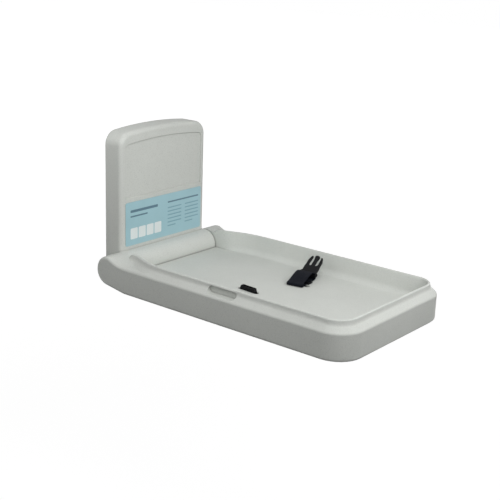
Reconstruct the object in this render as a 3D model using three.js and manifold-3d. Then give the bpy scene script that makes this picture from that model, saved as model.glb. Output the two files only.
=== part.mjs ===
// A wall-hung fold-down changing station: a narrow wall unit whose lower edge is a round hinge barrel,
// and a moulded tray that folds up over it.
// Millimetres, +Z up. The origin is on the wall, at mid-width, at the height of the hinge axis.
// The tray reaches out of the wall along -Y, and is drawn open.
import * as THREE from 'three';
import { mergeVertices } from 'three/addons/utils/BufferGeometryUtils.js';
import Module from 'manifold-3d';

const wasm = await Module();
wasm.setup();

// Driving dimensions of the tray
const TRAY_WIDTH = 505;
const TRAY_REACH = 918;
const TRAY_BOTTOM = -55;
const CORNER_RADIUS = 77;
const EDGE_ROUND = 9;
const LEDGE_EDGE = 25.5;
const LEDGE_SLOPE = THREE.MathUtils.degToRad(42);
const LIP_LEAN = 0.8;
const LIP_INSET = 24.5;
const LIP_TOP = 51;
const LIP_HALF = 4;
const FLOOR_TOP = -8;
const FLOOR_INSET = 60;
const FLOOR_ROUND = 24;
const BASIN_REAR = -142;
const SHOULDER_LONG = 150;
const SHOULDER_BACK = 30;
const CHEEK_WIDTH = 66.7;
const CHEEK_PROUD = 1;
const CHEEK_OUTER_FALL = 79;
const CHEEK_INNER_FALL = 205;
const SKIN = 4.5;

// Driving dimensions of the wall unit and its hinge barrel
const AXIS_OUT = 75;
const HOUSING_DEPTH = 65.7;
const HOUSING_TOP = 406;
const HOUSING_ARCH = 1350;
const HOUSING_CORNER = 42;
const HOUSING_EDGE = 14;
const BARREL_RADIUS = 43;
const RUNNING_GAP = 2;
const SEAT_GAP = 0.3;

// Shallow recess in the housing's face, and the panel below it
const RECESS_MARGIN = 18.8;
const RECESS_BASE = 201;
const RECESS_DROP = 35;
const RECESS_CORNER = 16;
const RECESS_DEPTH = 3.5;
const PANEL_MARGIN = 17.8;
const PANEL_LOW = 54.5;
const PANEL_TO_RECESS = 13;
const PANEL_THICK = 0.8;

// Hinge hardware, in order inward from the housing's end wall
const PIN_RADIUS = 11;
const PIN_PROUD = 6.4;
const NUT_THICK = 10;
const BRACKET_CLEAR = 9.3;
const BRACKET_THICK = 6;
const STOP_CLEAR = 6;
const STOP_THICK = 10;
const STOP_ROOM = 2.5;
const STOP_TALL = 15;
const DAMPER_CLEAR = 4;
const DAMPER_LENGTH = 38;
const DAMPER_RADIUS = 28;
const DAMPER_BORE = 20;
const PLATE_THICK = 3;
const ARM_THICK = 6;
const ARM_SHORT = 218;

// Straps and buckle
const STRAP_WIDTH = 50;
const STRAP_THICK = 1.8;
const SLOT_OUT = 72;
const SLOT_CLEAR = 2;
const LEFT_FROM_FRONT = 453;
const RIGHT_FROM_FRONT = 385;
const LEFT_YAW = THREE.MathUtils.degToRad(-4);
const RIGHT_YAW = THREE.MathUtils.degToRad(10);
const BUCKLE_WIDTH = 66;
const BUCKLE_THICK = 12;
const SOCKET_LENGTH = 42;
const SOCKET_RISE = 12;
const TONGUE_LENGTH = 74;
const TONGUE_YAW = THREE.MathUtils.degToRad(3.4);
const TONGUE_LEAN = THREE.MathUtils.degToRad(37.6);

// Finger grips in the rim
const GRIP_LENGTH = 100;
const GRIP_FROM_FRONT = 413;
const GRIP_DEPTH = 6;

// Places worked out from the sizes above
const TRAY_HALF = TRAY_WIDTH / 2;
const CHEEK_INNER = TRAY_HALF - CHEEK_WIDTH;
const CHEEK_RADIUS = BARREL_RADIUS + CHEEK_PROUD;
const HOUSING_HALF = CHEEK_INNER - RUNNING_GAP;
const RECESS_HALF = HOUSING_HALF - RECESS_MARGIN;
const RECESS_TOP = HOUSING_TOP - RECESS_DROP;
const TROUGH_RADIUS = BARREL_RADIUS + RUNNING_GAP + 0.5;
const POCKET_INNER = CHEEK_INNER + SKIN + 0.5;
const LIFT = TRAY_BOTTOM + SKIN + 0.5;
const LEFT_AT = -TRAY_REACH + LEFT_FROM_FRONT;
const RIGHT_AT = -TRAY_REACH + RIGHT_FROM_FRONT;
const GRIP_AT = -TRAY_REACH + GRIP_FROM_FRONT;
const ARM_REACH = TRAY_REACH - ARM_SHORT;
const ARM_AT = POCKET_INNER + 0.5;
const NUT_AT = ARM_AT + ARM_THICK + SEAT_GAP;
const PIN_OUTER = NUT_AT + NUT_THICK + PIN_PROUD;
const BRACKET_AT = HOUSING_HALF - SKIN - BRACKET_CLEAR - BRACKET_THICK;
const STOP_AT = BRACKET_AT - STOP_CLEAR - STOP_THICK;
const DAMPER_AT = STOP_AT - DAMPER_CLEAR - DAMPER_LENGTH;
const DAMPER_FLOOR = 5;
const PIN_INNER = DAMPER_AT + DAMPER_FLOOR + 1;
const COVER_INSET = 15;
const PAST = 1;

const X = new THREE.Vector3(1, 0, 0);
const Y = new THREE.Vector3(0, 1, 0);
const Z = new THREE.Vector3(0, 0, 1);
const ALONG_Z = new THREE.Matrix4();
const ALONG_X = new THREE.Matrix4().makeBasis(Y, Z, X);
const OUT_OF_WALL = new THREE.Matrix4().makeBasis(X, Z, Y.clone().negate());

const point = (u, v) => new THREE.Vector2(u, v);

// A closed solid through rings of equal point count, each an outline at its level
function loft(rings, basis = ALONG_Z) {
  const count = rings[0].outline.length;
  const positions = [];
  const index = [];
  for (const ring of rings) {
    for (const spot of ring.outline) {
      positions.push(spot.x, spot.y, ring.level);
    }
  }
  for (let row = 0; row + 1 < rings.length; row += 1) {
    for (let k = 0; k < count; k += 1) {
      const here = row * count + k;
      const next = row * count + ((k + 1) % count);
      index.push(here, next, next + count, here, next + count, here + count);
    }
  }
  const last = (rings.length - 1) * count;
  for (const [a, b, c] of THREE.ShapeUtils.triangulateShape(rings[0].outline, [])) {
    index.push(c, b, a);
  }
  for (const [a, b, c] of THREE.ShapeUtils.triangulateShape(rings[rings.length - 1].outline, [])) {
    index.push(last + a, last + b, last + c);
  }
  const geometry = new THREE.BufferGeometry();
  geometry.setAttribute('position', new THREE.Float32BufferAttribute(positions, 3));
  geometry.setIndex(index);
  return geometry.applyMatrix4(basis);
}

// A straight prism of a shape between two levels
function prism(shape, from, to, basis = ALONG_Z, curveSegments = 8) {
  const geometry = new THREE.ExtrudeGeometry(shape, { depth: to - from, bevelEnabled: false, curveSegments });
  return geometry.translate(0, 0, from).applyMatrix4(basis);
}

function box(x0, x1, y0, y1, z0, z1) {
  const geometry = new THREE.BoxGeometry(x1 - x0, y1 - y0, z1 - z0);
  return geometry.translate((x0 + x1) / 2, (y0 + y1) / 2, (z0 + z1) / 2);
}

function disc(u, v, radius) {
  const shape = new THREE.Shape();
  shape.absarc(u, v, radius, 0, 2 * Math.PI, false);
  return shape;
}

// A cylinder along X about the hinge axis
function axisDisc(radius, from, to, segments = 24) {
  return prism(disc(-AXIS_OUT, 0, radius), Math.min(from, to), Math.max(from, to), ALONG_X, segments);
}

// A cylinder along Z
function post(x, y, radius, from, to, segments = 6) {
  return prism(disc(x, y, radius), from, to, ALONG_Z, segments);
}

function toSolid(geometry) {
  const merged = mergeVertices(bareCopy(geometry), 1e-4);
  return new wasm.Manifold(new wasm.Mesh({
    numProp: 3,
    vertProperties: new Float32Array(merged.attributes.position.array),
    triVerts: new Uint32Array(merged.index.array),
  }));
}

function toGeometry(solid) {
  const mesh = solid.getMesh();
  const geometry = new THREE.BufferGeometry();
  geometry.setAttribute('position', new THREE.Float32BufferAttribute(mesh.vertProperties, 3));
  geometry.setIndex(Array.from(mesh.triVerts));
  geometry.computeVertexNormals();
  return geometry;
}

const join = (...pieces) => pieces.map(toSolid).reduce((sum, piece) => sum.add(piece));
const cut = (solid, ...tools) => tools.map(toSolid).reduce((rest, tool) => rest.subtract(tool), solid);

const group = new THREE.Group();
group.name = 'changing_station';

const MOULDED = { color: 0xd3d5cf, roughness: 0.55, metalness: 0 };
const STEEL = { color: 0x9a9d9f, roughness: 0.4, metalness: 0.9 };
const DARK_STEEL = { color: 0x55585a, roughness: 0.5, metalness: 0.8 };
const BLACK = { color: 0x141516, roughness: 0.5, metalness: 0 };
const RUBBER = { color: 0x2a2a2b, roughness: 0.9, metalness: 0 };
const BEARING = { color: 0xe8e4d8, roughness: 0.45, metalness: 0 };
const BLUE = { color: 0xa9d0da, roughness: 0.4, metalness: 0 };

function addPiece(name, geometry, look) {
  const material = new THREE.MeshStandardMaterial(look);
  const mesh = new THREE.Mesh(geometry, material);
  mesh.name = name;
  group.add(mesh);
  return mesh;
}

const SIDES = [{ name: 'left', sign: -1 }, { name: 'right', sign: 1 }];

// Reflects a right-hand geometry to the left side, keeping its faces pointing out
function toSide(geometry, sign) {
  if (sign > 0) {
    return geometry;
  }
  const mirrored = mergeVertices(bareCopy(geometry), 1e-4).scale(-1, 1, 1);
  const index = mirrored.index.array;
  for (let k = 0; k < index.length; k += 3) {
    const held = index[k];
    index[k] = index[k + 1];
    index[k + 1] = held;
  }
  return mirrored;
}

function bareCopy(geometry) {
  const bare = geometry.clone();
  bare.deleteAttribute('normal');
  bare.deleteAttribute('uv');
  return bare;
}

// Points of a circular arc, both ends included
function arc(u, v, radius, from, to, steps) {
  const points = [];
  for (let k = 0; k <= steps; k += 1) {
    const angle = from + ((to - from) * k) / steps;
    points.push(point(u + radius * Math.cos(angle), v + radius * Math.sin(angle)));
  }
  return points;
}

const QUARTER = Math.PI / 2;

// Outline of the tray in plan at an inset, square at the rear
function trayOutline(inset, rear) {
  const half = TRAY_HALF - inset;
  const front = -TRAY_REACH + inset;
  const radius = CORNER_RADIUS - inset;
  return [
    ...arc(half - radius, front + radius, radius, -QUARTER, 0, 8),
    point(half, rear),
    point(-half, rear),
    ...arc(-half + radius, front + radius, radius, 2 * QUARTER, 3 * QUARTER, 8),
  ];
}

// Outline of the basin at an inset: rounded at the front, easing in at the shoulders to the barrel's channel
function basinOutline(inset, channel = CHEEK_INNER) {
  const half = TRAY_HALF - inset;
  const front = -TRAY_REACH + inset;
  const radius = Math.max(CORNER_RADIUS - inset, 28);
  const rear = BASIN_REAR - (inset - LIP_INSET);
  const ease = new THREE.CubicBezierCurve(
    point(half, rear - SHOULDER_LONG),
    point(half, rear - 1.5 * SHOULDER_BACK),
    point(channel, rear - SHOULDER_BACK),
    point(channel, rear + SHOULDER_BACK),
  );
  const rightSide = [
    ...arc(half - radius, front + radius, radius, -QUARTER, 0, 8),
    ...ease.getPoints(10),
    point(channel, 0),
  ];
  const leftSide = rightSide.map((spot) => point(-spot.x, spot.y)).reverse();
  return [...rightSide, ...leftSide];
}

// Height profile of the tray's outside, from the bottom round over to the ledge
function ledgeProfile() {
  return [
    ...arc(EDGE_ROUND, TRAY_BOTTOM + EDGE_ROUND, EDGE_ROUND, -QUARTER, -2 * QUARTER, 3),
    ...arc(EDGE_ROUND, LEDGE_EDGE - EDGE_ROUND, EDGE_ROUND, 2 * QUARTER, QUARTER + LEDGE_SLOPE, 3),
  ];
}

// Height profile of the sloping ledge and the lip's outer face, up to its rounded crest
function lipProfile() {
  const foot = ledgeProfile().pop();
  const crest = arc(LIP_INSET, LIP_TOP - LIP_HALF, LIP_HALF, 2 * QUARTER, QUARTER, 3);
  const reach = crest[0].x - LIP_LEAN - foot.x;
  const bend = point(foot.x + reach, foot.y + reach * Math.tan(LEDGE_SLOPE));
  const cove = new THREE.QuadraticBezierCurve(foot.clone().lerp(bend, 0.75), bend, crest[0]);
  return [point(foot.x, foot.y - EDGE_ROUND), foot, ...cove.getPoints(4), ...crest.slice(1)];
}

const LIP_INNER = LIP_INSET + 1.4 * LIP_HALF;

// Height profile of the basin, from the floor up its rounded foot and sloping wall to the lip
function basinProfile() {
  const steps = arc(FLOOR_INSET, FLOOR_TOP + FLOOR_ROUND, FLOOR_ROUND, -QUARTER, -1.86 * QUARTER, 6);
  steps.push(point(LIP_INNER, LIP_TOP - LIP_HALF));
  steps.push(point(LIP_INSET + LIP_HALF * 0.8, LIP_TOP - LIP_HALF * 0.35));
  steps.push(point(LIP_INSET + PAST, LIP_TOP + PAST));
  return steps.map((spot) => ({ inset: spot.x, level: spot.y }));
}

// Side view of a cheek about the hinge axis: round at the wall, its top falling to the ledge
function cheekOutline(shrink, fall, front) {
  const radius = CHEEK_RADIUS - shrink;
  const bottom = TRAY_BOTTOM + shrink;
  const ledge = LEDGE_EDGE - shrink;
  const heel = BASIN_REAR + AXIS_OUT;
  const low = Math.atan2(bottom, heel) + Math.acos(radius / Math.hypot(heel, bottom));
  const slope = new THREE.CubicBezierCurve(
    point(-AXIS_OUT, radius),
    point(-AXIS_OUT - 0.13 * fall, radius),
    point(-AXIS_OUT - 0.35 * fall, ledge),
    point(-AXIS_OUT - fall, ledge),
  );
  return [
    ...arc(-AXIS_OUT, 0, radius, low, QUARTER, 14),
    ...slope.getPoints(7).slice(1),
    point(front, ledge),
    point(front, bottom),
    point(BASIN_REAR, bottom),
  ];
}

const CHEEK_FRONT = -AXIS_OUT - CHEEK_INNER_FALL - EDGE_ROUND;

// A cheek between two distances out from mid-width: gently sloped inside, steeper at its rounded outer edge
function cheek() {
  const inside = CHEEK_INNER - 2 * EDGE_ROUND;
  const shelf = TRAY_HALF - LIP_INNER;
  const edge = arc(TRAY_HALF - EDGE_ROUND, EDGE_ROUND, EDGE_ROUND, -QUARTER, 0, 3);
  const rings = [
    { outline: cheekOutline(0, CHEEK_INNER_FALL, CHEEK_FRONT), level: inside },
    { outline: cheekOutline(0, CHEEK_INNER_FALL, CHEEK_FRONT), level: CHEEK_INNER + EDGE_ROUND },
    { outline: cheekOutline(0, (CHEEK_INNER_FALL + CHEEK_OUTER_FALL) / 2, CHEEK_FRONT), level: shelf },
  ];
  rings.push(...edge.map((spot) => ({
    outline: cheekOutline(spot.y, CHEEK_OUTER_FALL, CHEEK_FRONT),
    level: spot.x,
  })));
  return loft(rings, ALONG_X);
}

const BULKHEAD = -AXIS_OUT - TROUGH_RADIUS - 6;
const BOSS_SETBACK = 63;
const BOSS_IN = 92.5;
const BOSS_OUT = TRAY_HALF - BOSS_IN;
const CROSS_FROM_REAR = 158;
const CROSS_SETBACK = 40;
const CROSS_ROWS = [BASIN_REAR - CROSS_FROM_REAR, -ARM_REACH + CROSS_SETBACK];
const BOSS_ROWS = [
  BASIN_REAR - BOSS_SETBACK,
  CROSS_ROWS[0] - 2 * BOSS_SETBACK,
  CROSS_ROWS[1] + BOSS_SETBACK / 2,
  -TRAY_REACH + BOSS_SETBACK + EDGE_ROUND,
];
const CROSS_BOSS_IN = 70.8;
const CROSS_BOSS_OUT = POCKET_INNER - CROSS_BOSS_IN;
const CROSS_WIDTH = 30;
const CROSS_LOW = -44;
const CROSS_HIGH = -24;

// The lip, which dies away into the cheeks at its two ends
function trayLip() {
  const rings = lipProfile().map(({ x, y }) => ({
    outline: basinOutline(x, CHEEK_INNER + LIP_INNER - x),
    level: y,
  }));
  const end = BASIN_REAR + SHOULDER_BACK;
  const side = new THREE.Shape();
  side.moveTo(end, 0);
  side.lineTo(end, LEDGE_EDGE);
  side.bezierCurveTo(end, LIP_TOP, end - LIP_HALF, LIP_TOP + PAST, end - 2 * SHOULDER_BACK, LIP_TOP + PAST);
  side.lineTo(-TRAY_REACH, LIP_TOP + PAST);
  side.lineTo(-TRAY_REACH, 0);
  side.closePath();
  return toSolid(loft(rings)).intersect(toSolid(prism(side, -TRAY_HALF, TRAY_HALF, ALONG_X)));
}

function trayOutside() {
  const rings = ledgeProfile().map(({ x, y }) => ({ outline: trayOutline(x, BASIN_REAR), level: y }));
  const middle = new THREE.Shape(cheekOutline(0, CHEEK_INNER_FALL, CHEEK_FRONT));
  const cheeks = SIDES.map(({ sign }) => toSide(cheek(), sign));
  const filling = prism(middle, -CHEEK_INNER - PAST, CHEEK_INNER + PAST, ALONG_X);
  return join(loft(rings), ...cheeks, filling).add(trayLip());
}

function basinCut(grow) {
  const rings = basinProfile().map(({ inset, level }) => ({
    outline: basinOutline(inset - grow, CHEEK_INNER + grow),
    level: level - grow,
  }));
  if (grow > 0) {
    rings.push({ outline: rings[rings.length - 1].outline, level: LIP_TOP + 4 * PAST });
  }
  return loft(rings);
}

// The hollow under the floor and inside the rim, open at the bottom
function trayHollow() {
  const wall = SKIN + 0.5;
  const rimTop = LEDGE_EDGE - SKIN - 2.5;
  const levels = [
    { inset: COVER_INSET, level: TRAY_BOTTOM - PAST },
    { inset: COVER_INSET, level: LIFT },
    { inset: wall, level: LIFT + 0.2 },
    { inset: wall, level: rimTop - 4 },
    { inset: wall + 4, level: rimTop },
  ];
  const rings = levels.map(({ inset, level }) => ({
    outline: trayOutline(inset, level > LIFT ? BULKHEAD : BASIN_REAR - COVER_INSET),
    level,
  }));
  const inner = new THREE.Shape(cheekOutline(wall, CHEEK_OUTER_FALL - EDGE_ROUND, CHEEK_FRONT));
  const pocket = prism(inner, POCKET_INNER, TRAY_HALF - wall, ALONG_X);
  const pockets = SIDES.map(({ sign }) => toSide(pocket, sign));
  return cut(join(loft(rings), ...pockets), basinCut(SKIN));
}

// Screw bosses hanging from the floor, for the cover and for the cross members
function trayBosses() {
  const under = FLOOR_TOP - SKIN + PAST;
  const bosses = [];
  for (const { sign } of SIDES) {
    for (const row of BOSS_ROWS) {
      bosses.push(cut(toSolid(post(sign * BOSS_OUT, row, 7, LIFT + SEAT_GAP, under)),
        post(sign * BOSS_OUT, row, 2.3, LIFT - PAST, LIFT + 18, 4)));
    }
    for (const row of CROSS_ROWS) {
      bosses.push(cut(toSolid(post(sign * CROSS_BOSS_OUT, row, 8, CROSS_HIGH + SEAT_GAP, under)),
        post(sign * CROSS_BOSS_OUT, row, 3.3, CROSS_HIGH - PAST, CROSS_HIGH + 9, 4)));
    }
  }
  return bosses;
}

// A long rounded finger grip sunk into the outer face of the lip
function gripCut() {
  const low = LEDGE_EDGE;
  const high = LIP_TOP - 5;
  const round = (high - low) / 2;
  const shape = new THREE.Shape();
  const middle = (low + high) / 2;
  shape.absarc(GRIP_AT + GRIP_LENGTH / 2 - round, middle, round, -QUARTER, QUARTER, false);
  shape.absarc(GRIP_AT - GRIP_LENGTH / 2 + round, middle, round, QUARTER, 3 * QUARTER, false);
  const face = TRAY_HALF - LIP_INSET + LIP_HALF;
  return prism(shape, face - GRIP_DEPTH, TRAY_HALF + PAST, ALONG_X, 8);
}

// A slot with round ends through the basin floor
function slotCut(sign, at, yaw) {
  const round = BUCKLE_THICK / 2 + SLOT_CLEAR;
  const straight = BUCKLE_WIDTH / 2 - BUCKLE_THICK / 4;
  const shape = new THREE.Shape();
  shape.absarc(0, straight, round, 0, 2 * QUARTER, false);
  shape.absarc(0, -straight, round, 2 * QUARTER, 4 * QUARTER, false);
  const tool = prism(shape, FLOOR_TOP - SKIN - PAST, FLOOR_TOP + PAST, ALONG_Z, 6);
  return tool.rotateZ(yaw).translate(sign * SLOT_OUT, at, 0);
}

function trayBody() {
  const behind = box(-CHEEK_INNER, CHEEK_INNER, -AXIS_OUT - 23, PAST, TRAY_BOTTOM - PAST, LIP_TOP + 4 * PAST);
  const trough = axisDisc(TROUGH_RADIUS, -CHEEK_INNER, CHEEK_INNER, 20);
  let body = cut(trayOutside(), basinCut(0), behind, trough).subtract(trayHollow());
  for (const boss of trayBosses()) {
    body = body.add(boss);
  }
  for (const { sign } of SIDES) {
    body = cut(body, toSide(gripCut(), sign),
      axisDisc(PIN_RADIUS + 1.5, sign * (CHEEK_INNER - PAST), sign * (POCKET_INNER + PAST), 10));
  }
  const slots = [slotCut(-1, LEFT_AT, LEFT_YAW), slotCut(1, RIGHT_AT, RIGHT_YAW)];
  return toGeometry(cut(body, ...slots));
}

addPiece('tray_body', trayBody(), MOULDED);

// Underside cover with sunk screws
const COVER_SINK = 2.8;

function undersideCover() {
  const inset = COVER_INSET + 0.4;
  const rear = BASIN_REAR - COVER_INSET - 0.4;
  const plate = loft([
    { outline: trayOutline(inset, rear), level: TRAY_BOTTOM },
    { outline: trayOutline(inset, rear), level: LIFT },
  ]);
  let cover = toSolid(plate);
  for (const { sign } of SIDES) {
    for (const row of BOSS_ROWS) {
      cover = cut(cover, post(sign * BOSS_OUT, row, 2.6, TRAY_BOTTOM - PAST, LIFT + PAST, 4),
        post(sign * BOSS_OUT, row, 5.2, TRAY_BOTTOM - PAST, TRAY_BOTTOM + COVER_SINK));
    }
  }
  return toGeometry(cover);
}

addPiece('underside_cover', undersideCover(), MOULDED);

// A round-headed screw standing on +Z, its head below the seat
function screw(radius, headRadius, headHeight, length) {
  const profile = [
    point(0, -headHeight),
    point(headRadius * 0.7, -headHeight),
    point(headRadius, -headHeight * 0.4),
    point(headRadius, 0),
    point(radius, 0),
    point(radius, length),
    point(0, length),
  ];
  return new THREE.LatheGeometry(profile, 10).rotateX(QUARTER);
}

let screwNumber = 0;
for (const { sign } of SIDES) {
  for (const row of BOSS_ROWS) {
    screwNumber += 1;
    const mesh = addPiece(`cover_screw_${screwNumber}`, screw(2, 4.5, 2.2, 15), DARK_STEEL);
    mesh.position.set(sign * BOSS_OUT, row, TRAY_BOTTOM + COVER_SINK - SEAT_GAP);
  }
}

// Steel frame under the floor: an arm on each hinge pin and two cross members
function frameArm() {
  const low = CROSS_LOW - 2;
  const high = CROSS_HIGH + 6;
  const hub = PIN_RADIUS * 2;
  const shape = new THREE.Shape();
  shape.moveTo(-ARM_REACH, low);
  shape.lineTo(BULKHEAD, low);
  shape.lineTo(-AXIS_OUT - hub * 0.5, -hub * 0.87);
  shape.absarc(-AXIS_OUT, 0, hub, -QUARTER * 4 / 3, QUARTER, false);
  shape.lineTo(BULKHEAD, high);
  shape.lineTo(-ARM_REACH, high);
  shape.closePath();
  const hole = new THREE.Path();
  hole.absarc(-AXIS_OUT, 0, PIN_RADIUS + SEAT_GAP, 0, 2 * Math.PI, true);
  shape.holes.push(hole);
  return prism(shape, ARM_AT, ARM_AT + ARM_THICK, ALONG_X, 12);
}

function crossMember(row) {
  const wall = 3;
  const half = CROSS_WIDTH / 2;
  const shape = new THREE.Shape();
  shape.moveTo(row - half, CROSS_LOW);
  shape.lineTo(row - half + wall, CROSS_LOW);
  shape.lineTo(row - half + wall, CROSS_HIGH - wall);
  shape.lineTo(row + half - wall, CROSS_HIGH - wall);
  shape.lineTo(row + half - wall, CROSS_LOW);
  shape.lineTo(row + half, CROSS_LOW);
  shape.lineTo(row + half, CROSS_HIGH);
  shape.lineTo(row - half, CROSS_HIGH);
  shape.closePath();
  const bar = toSolid(prism(shape, -POCKET_INNER - 0.2, POCKET_INNER + 0.2, ALONG_X));
  const holes = SIDES.map(({ sign }) => post(sign * CROSS_BOSS_OUT, row, 3.4, CROSS_LOW, CROSS_HIGH + PAST));
  return toGeometry(cut(bar, ...holes));
}

CROSS_ROWS.forEach((row, place) => {
  const where = place === 0 ? 'rear' : 'front';
  addPiece(`frame_cross_${where}`, crossMember(row), STEEL);
  for (const { name, sign } of SIDES) {
    const mesh = addPiece(`frame_bolt_${where}_${name}`, screw(3, 6, 4, 10), DARK_STEEL);
    mesh.position.set(sign * CROSS_BOSS_OUT, row, CROSS_HIGH - 3 - SEAT_GAP);
  }
});

// Hinge pin, nut and arm on the tray; damper rotor and stop arm turn with the pin inside the barrel
function stopArm() {
  const hub = PIN_RADIUS + 8;
  const half = 6;
  const shape = new THREE.Shape();
  const side = Math.asin(half / hub);
  const tip = -BARREL_RADIUS + SKIN + STOP_ROOM + 2;
  shape.moveTo(-AXIS_OUT - half, tip);
  shape.lineTo(-AXIS_OUT + half, tip);
  shape.absarc(-AXIS_OUT, 0, hub, -QUARTER + side, 3 * QUARTER - side, false);
  shape.closePath();
  const hole = new THREE.Path();
  hole.absarc(-AXIS_OUT, 0, PIN_RADIUS + SEAT_GAP, 0, 2 * Math.PI, true);
  shape.holes.push(hole);
  return prism(shape, STOP_AT, STOP_AT + STOP_THICK, ALONG_X, 12);
}

function ring(outer, inner, from, to, segments = 9) {
  const shape = disc(-AXIS_OUT, 0, outer);
  const hole = new THREE.Path();
  hole.absarc(-AXIS_OUT, 0, inner, 0, 2 * Math.PI, true);
  shape.holes.push(hole);
  return prism(shape, from, to, ALONG_X, segments);
}

function hexNut() {
  const across = PIN_RADIUS * 1.75;
  const shape = new THREE.Shape(arc(-AXIS_OUT, 0, across, 0, 2 * Math.PI * 5 / 6, 5));
  const hole = new THREE.Path();
  hole.absarc(-AXIS_OUT, 0, PIN_RADIUS + SEAT_GAP, 0, 2 * Math.PI, true);
  shape.holes.push(hole);
  return prism(shape, NUT_AT, NUT_AT + NUT_THICK, ALONG_X, 12);
}

// Bracket on the wall plate with its upright cheek and a foot for two bolts
const FOOT_LOW = BARREL_RADIUS + 3;
const FOOT_HIGH = FOOT_LOW + 32;
const FOOT_LENGTH = 44;
const FOOT_BOLTS = [BRACKET_AT - 0.73 * FOOT_LENGTH, BRACKET_AT - 0.32 * FOOT_LENGTH];
const FOOT_BOLT_HOLE = 4.3;
const FOOT_MIDDLE = (FOOT_LOW + FOOT_HIGH) / 2;
const FOOT_THICK = 5;
const FOOT_BACK = -PLATE_THICK - SEAT_GAP;

function hingeBracket() {
  const hub = PIN_RADIUS + 13;
  const shape = new THREE.Shape();
  shape.moveTo(FOOT_BACK, -30);
  shape.lineTo(FOOT_BACK, FOOT_HIGH);
  shape.lineTo(FOOT_BACK - 18, FOOT_HIGH);
  shape.absarc(-AXIS_OUT, 0, hub, QUARTER * 0.8, 3 * QUARTER, false);
  shape.closePath();
  const hole = new THREE.Path();
  hole.absarc(-AXIS_OUT, 0, PIN_RADIUS + 4, 0, 2 * Math.PI, true);
  shape.holes.push(hole);
  const upright = prism(shape, BRACKET_AT, BRACKET_AT + BRACKET_THICK, ALONG_X, 12);
  const footFront = FOOT_BACK - FOOT_THICK;
  const foot = box(BRACKET_AT - FOOT_LENGTH, BRACKET_AT + PAST, footFront, FOOT_BACK, FOOT_LOW, FOOT_HIGH);
  const holes = FOOT_BOLTS.map((at) => prism(disc(at, FOOT_MIDDLE, FOOT_BOLT_HOLE), 0, 20, OUT_OF_WALL, 5));
  return toGeometry(cut(join(upright, foot), ...holes));
}

function hingeBush() {
  const inner = PIN_RADIUS + SEAT_GAP;
  const sleeve = ring(PIN_RADIUS + 4 - SEAT_GAP, inner, BRACKET_AT - 1, BRACKET_AT + BRACKET_THICK + 1);
  const flangeStart = BRACKET_AT + BRACKET_THICK + SEAT_GAP;
  return toGeometry(join(sleeve, ring(PIN_RADIUS + 8, inner, flangeStart, flangeStart + 3)));
}

// Damper cup with a foot on the wall plate
function damperBody() {
  const end = DAMPER_AT + DAMPER_LENGTH;
  const cup = axisDisc(DAMPER_RADIUS, DAMPER_AT, end, 16);
  const foot = box(DAMPER_AT + 4, end - 4, -AXIS_OUT, FOOT_BACK, -12, 12);
  return toGeometry(cut(join(cup, foot), axisDisc(DAMPER_BORE, DAMPER_AT + DAMPER_FLOOR, end + PAST, 14)));
}

const STOP_FACE = -AXIS_OUT + 6 + SEAT_GAP;
const PAD_THICK = 4;
const STOP_LOW = -BARREL_RADIUS + SKIN + STOP_ROOM;
const STOP_HIGH = STOP_LOW + STOP_TALL;

function stopBlock() {
  const front = STOP_FACE + PAD_THICK + SEAT_GAP;
  return box(STOP_AT - 1, STOP_AT + STOP_THICK + 1, front, FOOT_BACK, STOP_LOW, STOP_HIGH);
}

function stopPad() {
  return box(STOP_AT - 1, STOP_AT + STOP_THICK + 1, STOP_FACE, STOP_FACE + PAD_THICK, STOP_LOW, STOP_HIGH);
}

const rotor = ring(DAMPER_BORE - 0.5, PIN_RADIUS + SEAT_GAP, DAMPER_AT + DAMPER_FLOOR + 1.5,
  DAMPER_AT + DAMPER_LENGTH - 2, 14);

for (const { name, sign } of SIDES) {
  addPiece(`hinge_pin_${name}`, toSide(axisDisc(PIN_RADIUS, PIN_INNER, PIN_OUTER, 12), sign), STEEL);
  addPiece(`pin_nut_${name}`, toSide(hexNut(), sign), DARK_STEEL);
  addPiece(`frame_arm_${name}`, toSide(frameArm(), sign), STEEL);
  addPiece(`stop_arm_${name}`, toSide(stopArm(), sign), DARK_STEEL);
  addPiece(`damper_rotor_${name}`, toSide(rotor, sign), BEARING);
  addPiece(`hinge_bracket_${name}`, toSide(hingeBracket(), sign), STEEL);
  addPiece(`hinge_bush_${name}`, toSide(hingeBush(), sign), BEARING);
  addPiece(`damper_body_${name}`, toSide(damperBody(), sign), DARK_STEEL);
  addPiece(`stop_block_${name}`, toSide(stopBlock(), sign), DARK_STEEL);
  addPiece(`stop_pad_${name}`, toSide(stopPad(), sign), RUBBER);
  FOOT_BOLTS.forEach((at, place) => {
    const bolt = screw(4, 7, 4.5, FOOT_THICK + PLATE_THICK).rotateX(-QUARTER);
    const mesh = addPiece(`bracket_bolt_${name}_${place + 1}`, bolt, DARK_STEEL);
    mesh.position.set(sign * at, FOOT_BACK - FOOT_THICK - SEAT_GAP, FOOT_MIDDLE);
  });
}

// Wall unit: outline of its arched face at an inset
function housingOutline(inset, base) {
  return archedOutline(HOUSING_HALF - inset, base, HOUSING_TOP - inset, HOUSING_CORNER - inset);
}

function archedOutline(half, base, top, corner) {
  const heart = top - HOUSING_ARCH;
  const cornerX = half - corner;
  const cornerZ = heart + Math.sqrt((HOUSING_ARCH - corner) ** 2 - cornerX ** 2);
  const meet = Math.atan2(cornerZ - heart, cornerX);
  return [
    point(half, base),
    ...arc(cornerX, cornerZ, corner, 0, meet, 7),
    ...arc(0, heart, HOUSING_ARCH, meet, Math.PI - meet, 10).slice(1, -1),
    ...arc(-cornerX, cornerZ, corner, Math.PI - meet, Math.PI, 7),
    point(-half, base),
  ];
}

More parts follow.
